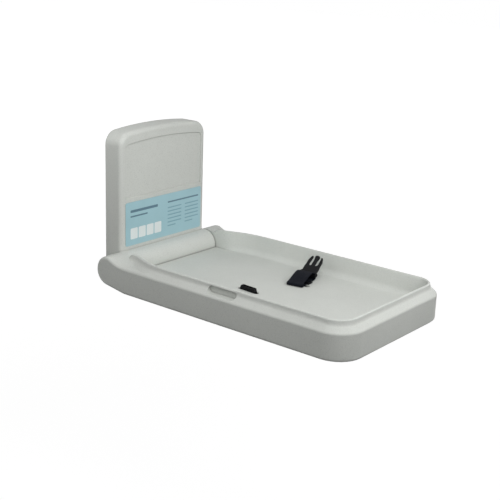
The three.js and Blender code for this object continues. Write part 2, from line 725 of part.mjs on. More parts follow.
// Lower part of the wall unit in side view: the barrel and the web that ties it to the wall
function barrelOutline(shrink, back) {
  const radius = BARREL_RADIUS - shrink;
  const shape = new THREE.Shape();
  shape.moveTo(back, -radius);
  shape.lineTo(back, radius);
  shape.lineTo(-AXIS_OUT, radius);
  shape.absarc(-AXIS_OUT, 0, radius, QUARTER, 3 * QUARTER, false);
  shape.closePath();
  return shape;
}

const HOUSING_SCREW_OUT = 75;
const HOUSING_SCREW_BACK = -18;

function wallHousing() {
  const flat = HOUSING_DEPTH - HOUSING_EDGE;
  const edge = arc(HOUSING_EDGE, flat, HOUSING_EDGE, 2 * QUARTER, QUARTER, 4);
  const rings = [{ outline: housingOutline(0, 0), level: 0 }];
  rings.push(...edge.map((spot) => ({ outline: housingOutline(spot.x, 0), level: spot.y })));
  const barrel = prism(barrelOutline(0, 0), -HOUSING_HALF, HOUSING_HALF, ALONG_X, 18);
  const shell = join(loft(rings, OUT_OF_WALL), barrel);
  const inside = HOUSING_DEPTH - RECESS_DEPTH - SKIN;
  const innerEdge = HOUSING_EDGE - SKIN;
  const hollow = loft([
    { outline: housingOutline(SKIN, 0), level: -PAST },
    { outline: housingOutline(SKIN, 0), level: inside - innerEdge },
    { outline: housingOutline(SKIN + innerEdge, 0), level: inside },
  ], OUT_OF_WALL);
  const room = prism(barrelOutline(SKIN, PAST), -HOUSING_HALF + SKIN, HOUSING_HALF - SKIN, ALONG_X, 16);
  const recessEdge = archedOutline(RECESS_HALF, RECESS_BASE, RECESS_TOP, RECESS_CORNER);
  const recess = loft([
    { outline: recessEdge, level: HOUSING_DEPTH - RECESS_DEPTH },
    { outline: recessEdge, level: HOUSING_DEPTH + PAST },
  ], OUT_OF_WALL);
  const pinHoles = SIDES.map(({ sign }) => axisDisc(PIN_RADIUS + 1.5, sign * (HOUSING_HALF - SKIN - PAST),
    sign * (HOUSING_HALF + PAST), 10));
  const screwHoles = SIDES.map(({ sign }) => post(sign * HOUSING_SCREW_OUT, HOUSING_SCREW_BACK, 2.6,
    -BARREL_RADIUS - PAST, -BARREL_RADIUS + SKIN + PAST, 6));
  return toGeometry(cut(shell, hollow, room, recess, ...pinHoles, ...screwHoles));
}

addPiece('wall_housing', wallHousing(), MOULDED);

function infoPanel() {
  const half = HOUSING_HALF - PANEL_MARGIN;
  const back = HOUSING_DEPTH + SEAT_GAP;
  return box(-half, half, -back - PANEL_THICK, -back, PANEL_LOW, RECESS_BASE - PANEL_TO_RECESS);
}

addPiece('info_panel', infoPanel(), BLUE);

// Steel plate that goes on the wall, with four fixing holes and two tabs that take the housing screws
const FIXING_IN = 53.8;
const FIXING_OUT = HOUSING_HALF - FIXING_IN;
const FIXING_ROWS = [125, 320];
const FIXING_RADIUS = 4.5;
const TAB_LEVEL = -BARREL_RADIUS + SKIN + 3;

function wallPlate() {
  const half = HOUSING_HALF - SKIN - 1;
  const low = -BARREL_RADIUS + SKIN + 1;
  const inset = SKIN + 1;
  const outline = archedOutline(half, low, HOUSING_TOP - inset, HOUSING_CORNER - inset);
  const sheet = loft([{ outline, level: 0 }, { outline, level: PLATE_THICK }], OUT_OF_WALL);
  const tools = [];
  const tabs = [];
  for (const { sign } of SIDES) {
    const at = sign * HOUSING_SCREW_OUT;
    tabs.push(box(at - 14, at + 14, HOUSING_SCREW_BACK - 12, -PLATE_THICK + PAST, TAB_LEVEL, TAB_LEVEL + 3));
    tools.push(post(at, HOUSING_SCREW_BACK, 2.3, TAB_LEVEL - PAST, TAB_LEVEL + 4, 6));
    for (const row of FIXING_ROWS) {
      const hole = disc(sign * FIXING_OUT, row, FIXING_RADIUS);
      tools.push(prism(hole, -PAST, PLATE_THICK + PAST, OUT_OF_WALL, 5));
    }
    for (const bolt of FOOT_BOLTS) {
      const hole = disc(sign * bolt, FOOT_MIDDLE, FOOT_BOLT_HOLE);
      tools.push(prism(hole, -PAST, PLATE_THICK + PAST, OUT_OF_WALL, 5));
    }
  }
  return toGeometry(cut(join(sheet, ...tabs), ...tools));
}

addPiece('wall_plate', wallPlate(), STEEL);

for (const { name, sign } of SIDES) {
  const mesh = addPiece(`housing_screw_${name}`, screw(2, 4.5, 2.4, 11), DARK_STEEL);
  mesh.position.set(sign * HOUSING_SCREW_OUT, HOUSING_SCREW_BACK, -BARREL_RADIUS - SEAT_GAP);
}

// Strap anchors: plates under the floor that hold the strap ends
const ANCHOR_AWAY = 57;
const ANCHOR_LONG = 20;
const ANCHOR_THICK = 3;
const ANCHOR_TOP = FLOOR_TOP - SKIN - SEAT_GAP;
const anchorPlate = () => new THREE.BoxGeometry(ANCHOR_LONG, STRAP_WIDTH + 8, ANCHOR_THICK);

const leftAnchor = addPiece('strap_anchor_left', anchorPlate(), STEEL);
leftAnchor.position.set(
  -SLOT_OUT - ANCHOR_AWAY * Math.cos(LEFT_YAW),
  LEFT_AT - ANCHOR_AWAY * Math.sin(LEFT_YAW),
  ANCHOR_TOP - ANCHOR_THICK / 2,
);
leftAnchor.rotation.z = LEFT_YAW;

const rightAnchor = addPiece('strap_anchor_right', anchorPlate(), STEEL);
rightAnchor.position.set(
  SLOT_OUT + ANCHOR_AWAY * Math.cos(RIGHT_YAW),
  RIGHT_AT + ANCHOR_AWAY * Math.sin(RIGHT_YAW),
  ANCHOR_TOP - ANCHOR_THICK / 2,
);
rightAnchor.rotation.z = RIGHT_YAW;

// A strap: a flat ribbon through points in side view, given width across
function ribbon(path) {
  const half = STRAP_THICK / 2;
  const upper = [];
  const lower = [];
  path.forEach((spot, k) => {
    const before = path[Math.max(k - 1, 0)];
    const after = path[Math.min(k + 1, path.length - 1)];
    const along = after.clone().sub(before).normalize();
    const across = point(-along.y, along.x).multiplyScalar(half);
    upper.push(spot.clone().add(across));
    lower.push(spot.clone().sub(across));
  });
  const shape = new THREE.Shape([...lower, ...upper.reverse()]);
  return prism(shape, -STRAP_WIDTH / 2, STRAP_WIDTH / 2, OUT_OF_WALL);
}

const STRAP_LEVEL = FLOOR_TOP + SEAT_GAP + STRAP_THICK / 2;
const UNDER_LEVEL = ANCHOR_TOP - ANCHOR_THICK - SEAT_GAP - STRAP_THICK / 2;
const STRAP_START = -ANCHOR_AWAY - ANCHOR_LONG / 2;
const FOLD_RADIUS = 4;
const FOLD_AWAY = 20;
const BULGE = 19;
const TONGUE_AWAY = 60;
const TONGUE_LEVEL = 2.7;
const SLIDER_AWAY = 24;
const SOCKET_FOOT = FLOOR_TOP + SOCKET_RISE - SOCKET_LENGTH;

// The left strap hangs from its anchor and turns up under the socket
const leftPath = [
  point(STRAP_START, UNDER_LEVEL),
  point(STRAP_START + 18, UNDER_LEVEL),
  point(STRAP_START + 26, UNDER_LEVEL - 1.5),
  point(STRAP_START + 36, UNDER_LEVEL - 11),
  point(STRAP_START + 46, SOCKET_FOOT - 1.5),
  point(-9, SOCKET_FOOT - 5),
  point(0, SOCKET_FOOT - STRAP_THICK),
];
const leftStrap = addPiece('strap_left', ribbon(leftPath), BLACK);
leftStrap.position.set(-SLOT_OUT, LEFT_AT, 0);
leftStrap.rotation.z = LEFT_YAW;

// The right strap comes up through its slot, folds back over itself in a bulge and ends at the tongue's slot
const foldMiddle = STRAP_LEVEL + FOLD_RADIUS;
const bulgeRise = new THREE.CubicBezierCurve(
  point(FOLD_AWAY, foldMiddle + FOLD_RADIUS),
  point(0.2 * FOLD_AWAY, foldMiddle + 1.7 * FOLD_RADIUS),
  point(-0.43 * TONGUE_AWAY, BULGE),
  point(-0.68 * TONGUE_AWAY, BULGE),
);
const bulgeFall = new THREE.QuadraticBezierCurve(
  point(-0.68 * TONGUE_AWAY, BULGE),
  point(-0.87 * TONGUE_AWAY, BULGE),
  point(-1.033 * TONGUE_AWAY, 0.62 * BULGE),
);
const rightPath = [
  point(STRAP_START, UNDER_LEVEL),
  point(-22, UNDER_LEVEL),
  point(-10, UNDER_LEVEL + STRAP_THICK / 2),
  point(-5, FLOOR_TOP - SKIN),
  point(0, FLOOR_TOP),
  point(5, STRAP_LEVEL + SEAT_GAP),
  point(11, STRAP_LEVEL),
  ...arc(FOLD_AWAY, foldMiddle, FOLD_RADIUS, -QUARTER, QUARTER, 6),
  ...bulgeRise.getPoints(6).slice(1),
  ...bulgeFall.getPoints(4).slice(1),
];
const rightStrap = addPiece('strap_right', ribbon(rightPath), BLACK);
rightStrap.position.set(SLOT_OUT, RIGHT_AT, 0);
rightStrap.rotation.z = Math.PI + RIGHT_YAW;

// Buckle socket: a flat box with a mouth at one end and a window in each side, standing in its slot mouth up
function buckleSocket() {
  const half = BUCKLE_WIDTH / 2;
  const taper = 6;
  const mouthHalf = half - 8;
  const shape = new THREE.Shape();
  shape.moveTo(0, -half + taper);
  shape.quadraticCurveTo(SOCKET_LENGTH * 0.3, -half, SOCKET_LENGTH * 0.45, -half);
  shape.lineTo(SOCKET_LENGTH, -mouthHalf);
  shape.lineTo(SOCKET_LENGTH, mouthHalf);
  shape.lineTo(SOCKET_LENGTH * 0.45, half);
  shape.quadraticCurveTo(SOCKET_LENGTH * 0.3, half, 0, half - taper);
  shape.closePath();
  const wall = 2.2;
  const body = toSolid(prism(shape, 0, BUCKLE_THICK));
  const inside = BUCKLE_THICK - wall;
  const room = mouthHalf - wall;
  const mouth = box(SOCKET_LENGTH / 3, SOCKET_LENGTH + PAST, -room, room, wall, inside);
  const windows = box(0.38 * SOCKET_LENGTH, 0.76 * SOCKET_LENGTH, -half - PAST, half + PAST, wall, inside);
  const strapHalf = STRAP_WIDTH / 2 + 0.5;
  const slotStart = 0.1 * SOCKET_LENGTH;
  const slotEnd = 0.24 * SOCKET_LENGTH;
  const strapSlot = box(slotStart, slotEnd, -strapHalf, strapHalf, -PAST, BUCKLE_THICK + PAST);
  return toGeometry(cut(body, mouth, windows, strapSlot));
}

const socket = addPiece('buckle_socket', buckleSocket(), BLACK);
socket.position.set(
  -SLOT_OUT + (BUCKLE_THICK / 2) * Math.cos(LEFT_YAW),
  LEFT_AT + (BUCKLE_THICK / 2) * Math.sin(LEFT_YAW),
  SOCKET_FOOT,
);
socket.rotation.order = 'ZYX';
socket.rotation.z = LEFT_YAW;
socket.rotation.y = -QUARTER;

// Buckle tongue: a base with a strap slot, a middle guide and two springy side arms with hooked tips
function buckleTongue() {
  const half = BUCKLE_WIDTH / 2 - 3;
  const waist = 0.82 * half;
  const base = 0.42 * TONGUE_LENGTH;
  const tip = TONGUE_LENGTH;
  const arm = 5.5;
  const guide = 5;
  const bulb = 7.5;
  const flank = new THREE.QuadraticBezierCurve(
    point(base, waist),
    point(base + 12, waist - 3),
    point(0.72 * tip, waist - 1),
  );
  const nose = new THREE.QuadraticBezierCurve(point(tip - 5, bulb), point(tip, bulb), point(tip, 0));
  const side = [
    point(0, half - 1.5),
    point(0.15 * tip, half),
    point(0.22 * tip, waist),
    ...flank.getPoints(4),
    point(0.93 * tip, waist - 6),
    point(0.95 * tip, waist - 6 - 0.8 * arm),
    point(base + 10, waist - 3 - arm),
    point(base + 4, guide + 2),
    point(base + 8, guide),
    point(0.78 * tip, guide),
    ...nose.getPoints(4),
  ];
  const otherSide = side.map((spot) => point(spot.x, -spot.y));
  const shape = new THREE.Shape([...otherSide, ...side.slice(0, -1).reverse()]);
  const body = toSolid(prism(shape, -BUCKLE_THICK * 0.32, BUCKLE_THICK * 0.32));
  const strapSlot = box(5, 10, -STRAP_WIDTH / 2 - 0.5, STRAP_WIDTH / 2 + 0.5, -BUCKLE_THICK, BUCKLE_THICK);
  return toGeometry(cut(body, strapSlot));
}

const tongue = addPiece('buckle_tongue', buckleTongue(), BLACK);
tongue.position.set(
  SLOT_OUT + TONGUE_AWAY * Math.cos(RIGHT_YAW),
  RIGHT_AT + TONGUE_AWAY * Math.sin(RIGHT_YAW),
  TONGUE_LEVEL,
);
tongue.rotation.order = 'ZYX';
tongue.rotation.z = TONGUE_YAW;
tongue.rotation.y = -TONGUE_LEAN;

// Strap slider: a flat frame with two slots, lying on the floor under the strap's bulge
const SLIDER_WIDE = 26;
const SLIDER_THICK = 3.5;
const SLIDER_SLOT = 5;

function strapSlider() {
  const half = STRAP_WIDTH / 2 + SLIDER_SLOT;
  const frame = toSolid(box(-SLIDER_WIDE / 2, SLIDER_WIDE / 2, -half, half, 0, SLIDER_THICK));
  const slotHalf = SLIDER_SLOT / 2;
  const reach = STRAP_WIDTH / 2 + 1;
  const slots = [-SLIDER_WIDE / 4, SLIDER_WIDE / 4].map((at) => (
    box(at - slotHalf, at + slotHalf, -reach, reach, -PAST, SLIDER_THICK + PAST)
  ));
  return toGeometry(cut(frame, ...slots));
}

const slider = addPiece('strap_slider', strapSlider(), BLACK);
slider.position.set(
  SLOT_OUT + SLIDER_AWAY * Math.cos(RIGHT_YAW),
  RIGHT_AT + SLIDER_AWAY * Math.sin(RIGHT_YAW),
  FLOOR_TOP + SEAT_GAP,
);
slider.rotation.z = RIGHT_YAW;

export default group;
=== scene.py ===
"""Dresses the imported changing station: moulded shell, face panel, webbing, buckle and hinge hardware."""

import math

import bpy
from bpy.props import FloatProperty, FloatVectorProperty, PointerProperty
from mathutils import Matrix, Vector


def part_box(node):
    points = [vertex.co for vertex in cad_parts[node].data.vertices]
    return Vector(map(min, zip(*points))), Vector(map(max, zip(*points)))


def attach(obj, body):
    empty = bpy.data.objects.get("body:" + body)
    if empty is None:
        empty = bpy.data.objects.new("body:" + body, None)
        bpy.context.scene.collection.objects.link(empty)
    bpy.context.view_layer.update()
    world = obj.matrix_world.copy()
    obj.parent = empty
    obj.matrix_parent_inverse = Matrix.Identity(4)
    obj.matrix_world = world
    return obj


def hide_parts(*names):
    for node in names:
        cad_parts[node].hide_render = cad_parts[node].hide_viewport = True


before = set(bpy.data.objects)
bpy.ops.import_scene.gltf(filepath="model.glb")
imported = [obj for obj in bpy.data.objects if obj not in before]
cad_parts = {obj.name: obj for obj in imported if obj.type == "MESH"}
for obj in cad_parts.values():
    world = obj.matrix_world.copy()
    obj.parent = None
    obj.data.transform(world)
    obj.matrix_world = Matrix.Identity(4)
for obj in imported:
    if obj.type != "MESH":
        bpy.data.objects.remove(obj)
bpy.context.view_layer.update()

bl_info = {
    "name": "Changing station",
    "version": (1, 0, 0),
    "blender": (4, 5, 0),
    "location": "3D View > Sidebar > Station",
    "description": "Finishes and soft pieces of a fold-down changing station",
    "category": "Object",
}

MILLIMETRE = 0.001
TRAY = "tray"
WALL = "wall_unit"

SHELL_NODES = ("tray_body", "underside_cover", "wall_housing")
BUCKLE_NODES = ("buckle_socket", "buckle_tongue", "strap_slider")
STEEL_PREFIXES = ("frame_arm", "frame_cross", "hinge_bracket", "hinge_pin", "strap_anchor", "wall_plate")
FASTENER_PREFIXES = ("bracket_bolt", "cover_screw", "frame_bolt", "housing_screw", "pin_nut")
DARK_PREFIXES = ("damper_body", "stop_arm", "stop_block")
BEARING_PREFIXES = ("damper_rotor", "hinge_bush")
RUBBER_PREFIXES = ("stop_pad",)


def length(name, default, description):
    """A length setting in metres."""
    return FloatProperty(name=name, default=default, description=description, unit="LENGTH", precision=4)


def angle(name, degrees, description):
    """An angle setting, given in degrees and kept in radians."""
    return FloatProperty(
        name=name, default=math.radians(degrees), description=description, subtype="ANGLE"
    )


def colour(name, default, description):
    """A colour setting in linear light."""
    return FloatVectorProperty(
        name=name, default=default, description=description, subtype="COLOR", min=0.0, max=1.0
    )


class StationSizes(bpy.types.PropertyGroup):
    """Sizes of the pieces that are made here, in metres."""

    shell_edge: length("Shell edge", 0.0012, "Rounding of the moulded shell's sharp edges")
    metal_edge: length("Metal edge", 0.0004, "Rounding of the hardware's edges")
    smooth_angle: angle("Smooth angle", 33.0, "Edges that turn less than this are shaded smooth")
    strap_width: length("Strap width", 0.05, "Width of the webbing")
    strap_thick: length("Strap thickness", 0.0018, "Thickness of the webbing")
    stitch_long: length("Stitch length", 0.0032, "Length of one stitch")
    stitch_thick: length("Stitch thickness", 0.0007, "Thickness of the thread")
    panel_round: length("Panel corner", 0.006, "Corner radius of the face panel")
    mark_thick: length("Print thickness", 0.00012, "Thickness of the printed shapes")
    floor_level: length("Floor level", -0.85, "Height of the floor below the hinge axis")
    floor_size: length("Floor size", 40.0, "Side of the floor")


class StationColours(bpy.types.PropertyGroup):
    """Colours of the finishes."""

    shell: colour("Shell", (0.60, 0.618, 0.585), "Light grey moulded plastic")
    fleck: colour("Fleck", (0.33, 0.34, 0.325), "Darker flecks in the plastic")
    # Painted shade, not dirt: the moulded finish darkens seams, recesses and crevices towards this colour by how
    # enclosed they are.
    crevice_shade: colour("Crevice shade", (0.24, 0.24, 0.225), "Dirt that settles in seams and crevices")
    panel: colour("Panel", (0.345, 0.548, 0.606), "Pale blue face panel")
    print_light: colour("Light print", (0.74, 0.80, 0.80), "Lighter printed shapes")
    print_middle: colour("Middle print", (0.20, 0.36, 0.43), "Lines of the print")
    print_dark: colour("Dark print", (0.10, 0.19, 0.25), "Darker printed shapes")
    webbing: colour("Webbing", (0.0034, 0.0043, 0.0074), "Black webbing")
    thread: colour("Thread", (0.012, 0.012, 0.013), "Thread of the stitching")
    buckle: colour("Buckle", (0.004, 0.0042, 0.005), "Black buckle plastic")
    steel: colour("Steel", (0.50, 0.51, 0.52), "Plain steel")
    fastener: colour("Fastener", (0.22, 0.225, 0.23), "Dark plated screws and nuts")
    dark_steel: colour("Dark steel", (0.07, 0.072, 0.075), "Black coated steel")
    bearing: colour("Bearing", (0.72, 0.68, 0.58), "Off-white bearing plastic")
    rubber: colour("Rubber", (0.018, 0.018, 0.018), "Stop pads")
    floor: colour("Floor", (0.20, 0.20, 0.20), "Floor, which the stage shows as white")


class Finish:
    """A procedural material and the nodes being added to it."""

    def __init__(self, name, roughness, metallic=0.0):
        self.material = bpy.data.materials.new(name)
        self.material.use_nodes = True
        tree = self.material.node_tree
        self.nodes = tree.nodes
        self.links = tree.links
        self.shader = self.nodes["Principled BSDF"]
        self.shader.inputs["Roughness"].default_value = roughness
        self.shader.inputs["Metallic"].default_value = metallic
        self.place = self.nodes.new("ShaderNodeTexCoord").outputs["Object"]

    def stretched(self, x, y, z):
        """Object coordinates scaled along each axis."""
        mapping = self.nodes.new("ShaderNodeMapping")
        mapping.inputs["Scale"].default_value = (x, y, z)
        self.links.new(self.place, mapping.inputs["Vector"])
        return mapping.outputs["Vector"]

    def noise(self, scale, detail=2.0, vector=None):
        """Cloudy noise with that many features to the metre."""
        node = self.nodes.new("ShaderNodeTexNoise")
        node.inputs["Scale"].default_value = scale
        node.inputs["Detail"].default_value = detail
        self.links.new(vector or self.place, node.inputs["Vector"])
        return node.outputs["Fac"]

    def spread(self, value, low, high, to_low=0.0, to_high=1.0):
        """Maps the range from low to high onto another range, clamped."""
        node = self.nodes.new("ShaderNodeMapRange")
        node.inputs["From Min"].default_value = low
        node.inputs["From Max"].default_value = high
        node.inputs["To Min"].default_value = to_low
        node.inputs["To Max"].default_value = to_high
        self.links.new(value, node.inputs["Value"])
        return node.outputs["Result"]

    def math(self, operation, first, second):
        """One sum on two values, either of which may be a number."""
        node = self.nodes.new("ShaderNodeMath")
        node.operation = operation
        for socket, value in zip(node.inputs, (first, second)):
            if isinstance(value, (int, float)):
                socket.default_value = value
            else:
                self.links.new(value, socket)
        return node.outputs["Value"]

    def mix(self, factor, first, second):
        """Blends two colours, each a tuple or a socket, by a socket."""
        node = self.nodes.new("ShaderNodeMix")
        node.data_type = "RGBA"
        self.links.new(factor, node.inputs["Factor"])
        for name, value in (("A", first), ("B", second)):
            socket = next(s for s in node.inputs if s.name == name and s.type == "RGBA")
            if isinstance(value, bpy.types.NodeSocket):
                self.links.new(value, socket)
            else:
                socket.default_value = (*value, 1.0)
        return next(s for s in node.outputs if s.type == "RGBA")

    def crevices(self, reach):
        """How open the surface is to its surroundings within a reach, from 0 in a crevice to 1."""
        node = self.nodes.new("ShaderNodeAmbientOcclusion")
        node.samples = 8
        node.inputs["Distance"].default_value = reach
        return node.outputs["AO"]

    def set(self, name, value):
        """Feeds a shader input from a socket."""
        self.links.new(value, self.shader.inputs[name])

    def relief(self, height, distance, strength=1.0):
        """Bumps the surface by a height from 0 to 1 over a distance in metres."""
        node = self.nodes.new("ShaderNodeBump")
        node.inputs["Distance"].default_value = distance
        node.inputs["Strength"].default_value = strength
        self.links.new(height, node.inputs["Height"])
        self.set("Normal", node.outputs["Normal"])


def shade(tone, factor):
    """A colour made lighter or darker."""
    return tuple(min(part * factor, 1.0) for part in tone)


def moulded_finish(colours):
    """Moulded plastic with fine flecks, a pebbled skin, faint cloudiness and painted shade in its seams and crevices.
    """
    finish = Finish("moulded_shell", 0.5)
    cloud = finish.noise(7.0, 3.0)
    base = finish.mix(finish.spread(cloud, 0.3, 0.7), shade(colours.shell, 0.975), shade(colours.shell, 1.02))
    dark = finish.spread(finish.noise(620.0, 1.0), 0.60, 0.72, 0.0, 0.55)
    flecked = finish.mix(dark, base, colours.fleck)
    light = finish.spread(finish.noise(480.0, 1.0, finish.stretched(1.0, 1.1, 0.9)), 0.62, 0.74, 0.0, 0.5)
    speckled = finish.mix(light, flecked, shade(colours.shell, 1.2))
    # Painted shade: ambient occlusion darkens seams, recesses and crevices towards the crevice shade colour.
    crevice_shade = finish.spread(finish.crevices(0.007), 0.45, 0.9, 0.5, 0.0)
    finish.set("Base Color", finish.mix(crevice_shade, speckled, colours.crevice_shade))
    finish.set("Roughness", finish.spread(finish.noise(40.0, 3.0), 0.3, 0.7, 0.44, 0.56))
    pebble = finish.noise(900.0, 2.0)
    finish.relief(pebble, 0.00016, 0.55)
    finish.shader.inputs["Specular IOR Level"].default_value = 0.25
    return finish.material


def printed_finish(name, tone):
    """Smooth printed film with a faint grain."""
    finish = Finish(name, 0.36)
    grain = finish.noise(1500.0, 2.0)
    cloud = finish.noise(12.0, 2.0)
    base = finish.mix(finish.spread(cloud, 0.3, 0.7), shade(tone, 0.97), shade(tone, 1.03))
    finish.set("Base Color", finish.mix(finish.spread(grain, 0.45, 0.7, 0.0, 0.12), base, shade(tone, 1.25)))
    finish.set("Roughness", finish.spread(grain, 0.3, 0.7, 0.32, 0.42))
    finish.relief(grain, 0.00003, 0.4)
    return finish.material


def woven_finish(colours, sizes):
    """Webbing: ribs along the strap crossed by fine wefts, from the mesh's own layout in metres."""
    finish = Finish("webbing", 0.72)
    layout = finish.nodes.new("ShaderNodeUVMap")
    layout.uv_map = "weave"
    parts = finish.nodes.new("ShaderNodeSeparateXYZ")
    finish.links.new(layout.outputs["UV"], parts.inputs["Vector"])
    rib = 2.0 * math.pi / 0.0021
    weft = 2.0 * math.pi / 0.0013
    across = finish.math("MULTIPLY", parts.outputs["X"], rib)
    along = finish.math("MULTIPLY", parts.outputs["Y"], weft)
    rows = finish.math("SINE", across, 0.0)
    half_step = finish.math("MULTIPLY", finish.math("SIGN", rows, 0.0), 0.5 * math.pi)
    picks = finish.math("SINE", finish.math("ADD", along, half_step), 0.0)
    ridge = finish.math("ABSOLUTE", rows, 0.0)
    height = finish.math("ADD", finish.math("MULTIPLY", ridge, 0.6), finish.math("MULTIPLY", picks, 0.4))
    # Painted shade and highlight: the weave's hollows are coloured darker and its ridges lighter, following the bump
    # height.
    tone = finish.mix(finish.spread(height, -0.4, 1.0), shade(colours.webbing, 0.45), shade(colours.webbing, 1.7))
    fuzz = finish.spread(finish.noise(2600.0, 2.0), 0.55, 0.8, 0.0, 0.35)
    finish.set("Base Color", finish.mix(fuzz, tone, shade(colours.webbing, 3.5)))
    finish.set("Roughness", finish.spread(height, -0.4, 1.0, 0.85, 0.62))
    finish.relief(finish.spread(height, -0.4, 1.0), 0.25 * sizes.strap_thick, 0.8)
    finish.shader.inputs["Specular IOR Level"].default_value = 0.09
    return finish.material


def plastic_finish(name, tone, roughness, shine=0.5):
    """Moulded technical plastic with a fine spark-eroded texture."""
    finish = Finish(name, roughness)
    grain = finish.noise(1800.0, 2.0)
    finish.set("Base Color", finish.mix(finish.spread(grain, 0.35, 0.65), shade(tone, 0.8), shade(tone, 1.3)))
    cloud = finish.noise(90.0, 3.0)
    finish.set("Roughness", finish.spread(cloud, 0.3, 0.7, roughness - 0.06, roughness + 0.08))
    finish.relief(grain, 0.00008, 0.5)
    finish.shader.inputs["Specular IOR Level"].default_value = shine
    return finish.material


def metal_finish(name, tone, roughness, grain=(1.0, 1.0, 1.0)):
    """Metal with drawn grain and uneven polish."""
    finish = Finish(name, roughness, 1.0)
    lines = finish.noise(420.0, 3.0, finish.stretched(*grain))
    patch = finish.noise(35.0, 3.0)
    base = finish.mix(finish.spread(lines, 0.3, 0.7), shade(tone, 0.82), shade(tone, 1.12))
    finish.set("Base Color", finish.mix(finish.spread(patch, 0.5, 0.8, 0.0, 0.25), base, shade(tone, 0.7)))
    finish.set("Roughness", finish.spread(patch, 0.3, 0.7, roughness - 0.07, roughness + 0.1))
    finish.relief(lines, 0.00004, 0.4)
    return finish.material


def rubber_finish(colours):
    """Matt rubber with a dusty bloom."""
    finish = Finish("rubber_pad", 0.86)
    bloom = finish.noise(160.0, 4.0)
    finish.set("Base Color", finish.mix(finish.spread(bloom, 0.35, 0.75), colours.rubber, shade(colours.rubber, 2.4)))
    finish.set("Roughness", finish.spread(bloom, 0.3, 0.7, 0.8, 0.94))
    finish.relief(finish.noise(900.0, 2.0), 0.0001, 0.5)
    return finish.material


def nodes_named(*prefixes):
    """The shown CAD nodes whose names start with one of the prefixes."""
    return [obj for name, obj in sorted(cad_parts.items()) if name.startswith(prefixes)]


def give(objects, material):
    """Puts one material on each object."""
    for obj in objects:
        obj.data.materials.clear()
        obj.data.materials.append(material)


def smoothing_group(limit):
    """A node group that shades faces smooth and keeps edges that turn more than the limit sharp."""
    group = bpy.data.node_groups.new("smooth_by_angle", "GeometryNodeTree")
    group.interface.new_socket("Geometry", in_out="INPUT", socket_type="NodeSocketGeometry")
    group.interface.new_socket("Geometry", in_out="OUTPUT", socket_type="NodeSocketGeometry")
    start = group.nodes.new("NodeGroupInput")
    end = group.nodes.new("NodeGroupOutput")
    faces = group.nodes.new("GeometryNodeSetShadeSmooth")
    faces.domain = "FACE"
    edges = group.nodes.new("GeometryNodeSetShadeSmooth")
    edges.domain = "EDGE"
    edges.inputs["Shade Smooth"].default_value = False
    turn = group.nodes.new("GeometryNodeInputMeshEdgeAngle")
    sharp = group.nodes.new("FunctionNodeCompare")
    sharp.operation = "GREATER_THAN"
    sharp.inputs[1].default_value = limit
    group.links.new(turn.outputs["Unsigned Angle"], sharp.inputs[0])
    group.links.new(start.outputs["Geometry"], faces.inputs["Geometry"])
    group.links.new(faces.outputs["Geometry"], edges.inputs["Geometry"])
    group.links.new(sharp.outputs["Result"], edges.inputs["Selection"])
    group.links.new(edges.outputs["Geometry"], end.inputs["Geometry"])
    return group


def soften(objects, width, sizes, segments=2):
    """Shades objects smooth and rounds their sharp edges, if a width is given, by modifiers alone."""
    group = bpy.data.node_groups.get("smooth_by_angle") or smoothing_group(sizes.smooth_angle)
    for obj in objects:
        weld = obj.modifiers.new("shared_corners", "WELD")
        weld.merge_threshold = 0.01 * MILLIMETRE
        merge = obj.modifiers.new("flat_faces", "DECIMATE")
        merge.decimate_type = "DISSOLVE"
        merge.angle_limit = math.radians(0.4)
        if width:
            bevel = obj.modifiers.new("edges", "BEVEL")
            bevel.width = width
            bevel.segments = segments
            bevel.limit_method = "ANGLE"
            bevel.angle_limit = sizes.smooth_angle
            bevel.use_clamp_overlap = False
        smooth = obj.modifiers.new("smooth", "NODES")
        smooth.node_group = group
        weighted = obj.modifiers.new("weighted", "WEIGHTED_NORMAL")
        weighted.keep_sharp = True


def make_object(name, verts, faces, body, material):
    """A mesh piece that rides on a body."""
    mesh = bpy.data.meshes.new(name)
    mesh.from_pydata([tuple(v) for v in verts], [], faces)
    mesh.update()
    mesh.materials.append(material)
    obj = bpy.data.objects.new(name, mesh)
    bpy.context.scene.collection.objects.link(obj)
    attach(obj, body)
    return obj


def rounded_outline(width, height, radius, steps=6):
    """Points round a rectangle with rounded corners, about its middle."""
    points = []
    corners = ((1, 1, 0.0), (-1, 1, 0.5), (-1, -1, 1.0), (1, -1, 1.5))
    for side, rise, turn in corners:
        middle = Vector((side * (0.5 * width - radius), rise * (0.5 * height - radius)))
        for step in range(steps + 1):
            heading = math.pi * (turn + 0.5 * step / steps)
            points.append(middle + radius * Vector((math.cos(heading), math.sin(heading))))
    return points


def face_plate(outline, place, thick, edge):
    """Vertices and faces of a thin plate facing out of the wall, with an eased front edge."""
    count = len(outline)
    middle = sum(outline, Vector((0.0, 0.0))) / count
    rings = ((1.0, 0.0), (1.0, thick - edge), (None, thick))
    verts = []
    for shrink, out in rings:
        for spot in outline:
            where = spot if shrink else middle + (spot - middle) * (1.0 - edge / (spot - middle).length)
            verts.append(place + Vector((where.x, -out, where.y)))
    faces = []
    for ring in range(len(rings) - 1):
        for k in range(count):
            here = ring * count + k
            beside = ring * count + (k + 1) % count
            faces.append((here, beside, beside + count, here + count))
    faces.append(tuple(range((len(rings) - 1) * count, len(rings) * count)))
    faces.append(tuple(reversed(range(count))))
    return verts, faces


def smooth_run(points, step):
    """A Catmull-Rom curve through points, sampled about every step."""
    padded = [2 * points[0] - points[1], *points, 2 * points[-1] - points[-2]]
    run = []
    for k in range(1, len(padded) - 2):
        before, start, end, after = padded[k - 1:k + 3]
        pieces = max(2, round((end - start).length / step))
        for n in range(pieces):
            t = n / pieces
            run.append(0.5 * (
                2 * start + (end - before) * t + (2 * before - 5 * start + 4 * end - after) * t ** 2
                + (3 * start - before - 3 * end + after) * t ** 3
            ))
    run.append(points[-1].copy())
    return run


def run_length(run):
    """Length along a run of points."""
    return sum((b - a).length for a, b in zip(run, run[1:]))


